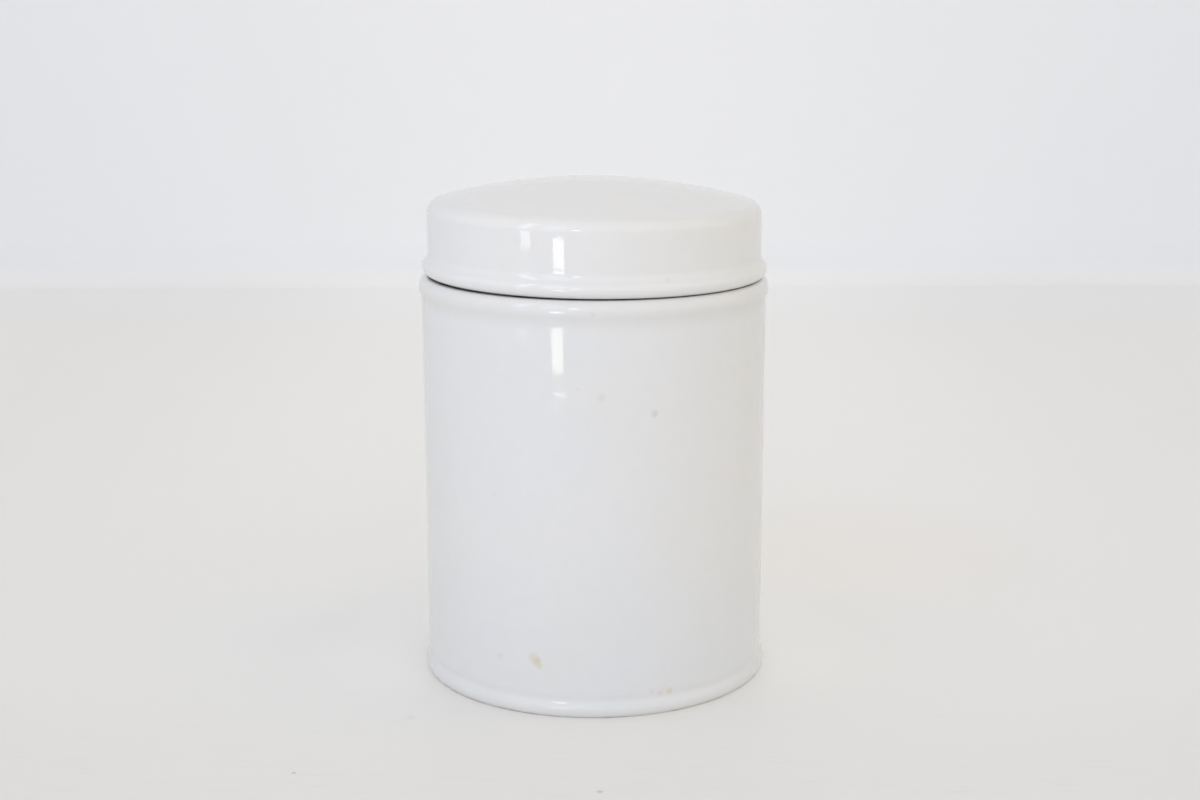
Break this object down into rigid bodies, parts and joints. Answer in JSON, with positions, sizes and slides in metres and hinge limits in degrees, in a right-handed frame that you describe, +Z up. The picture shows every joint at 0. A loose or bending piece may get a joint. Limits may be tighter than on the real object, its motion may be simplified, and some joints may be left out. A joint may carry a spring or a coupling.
{
  "type": "ointment pot",
  "caption": "Cylindrical white glazed porcelain ointment pot with a low rolled foot, a beaded rim and a domed cap lid that lifts off a plain neck.",
  "frame": {"origin": "centre of the foot, on the surface that the pot stands on", "axes": "+Z up along the pot's axis, out through the lid; +X to the right and -Y towards the viewer in the picture"},
  "size_m": [0.0568, 0.0568, 0.081],
  "materials": {
    "pot_porcelain": "glossy white glaze with faint unevenness and a few iron specks, unglazed on the foot ring and the seat",
    "lid_porcelain": "glossy white glaze with faint unevenness, unglazed on the flat seat"
  },
  "bodies": {
    "pot": {"pot": "pot_porcelain"},
    "lid": {"lid": "lid_porcelain"}
  },
  "joints": [
    {"name": "lid_lift", "type": "slide", "parent": "pot", "child": "lid", "axis": [0, 0, 1], "range_m": [0, 0.06]}
  ]
}
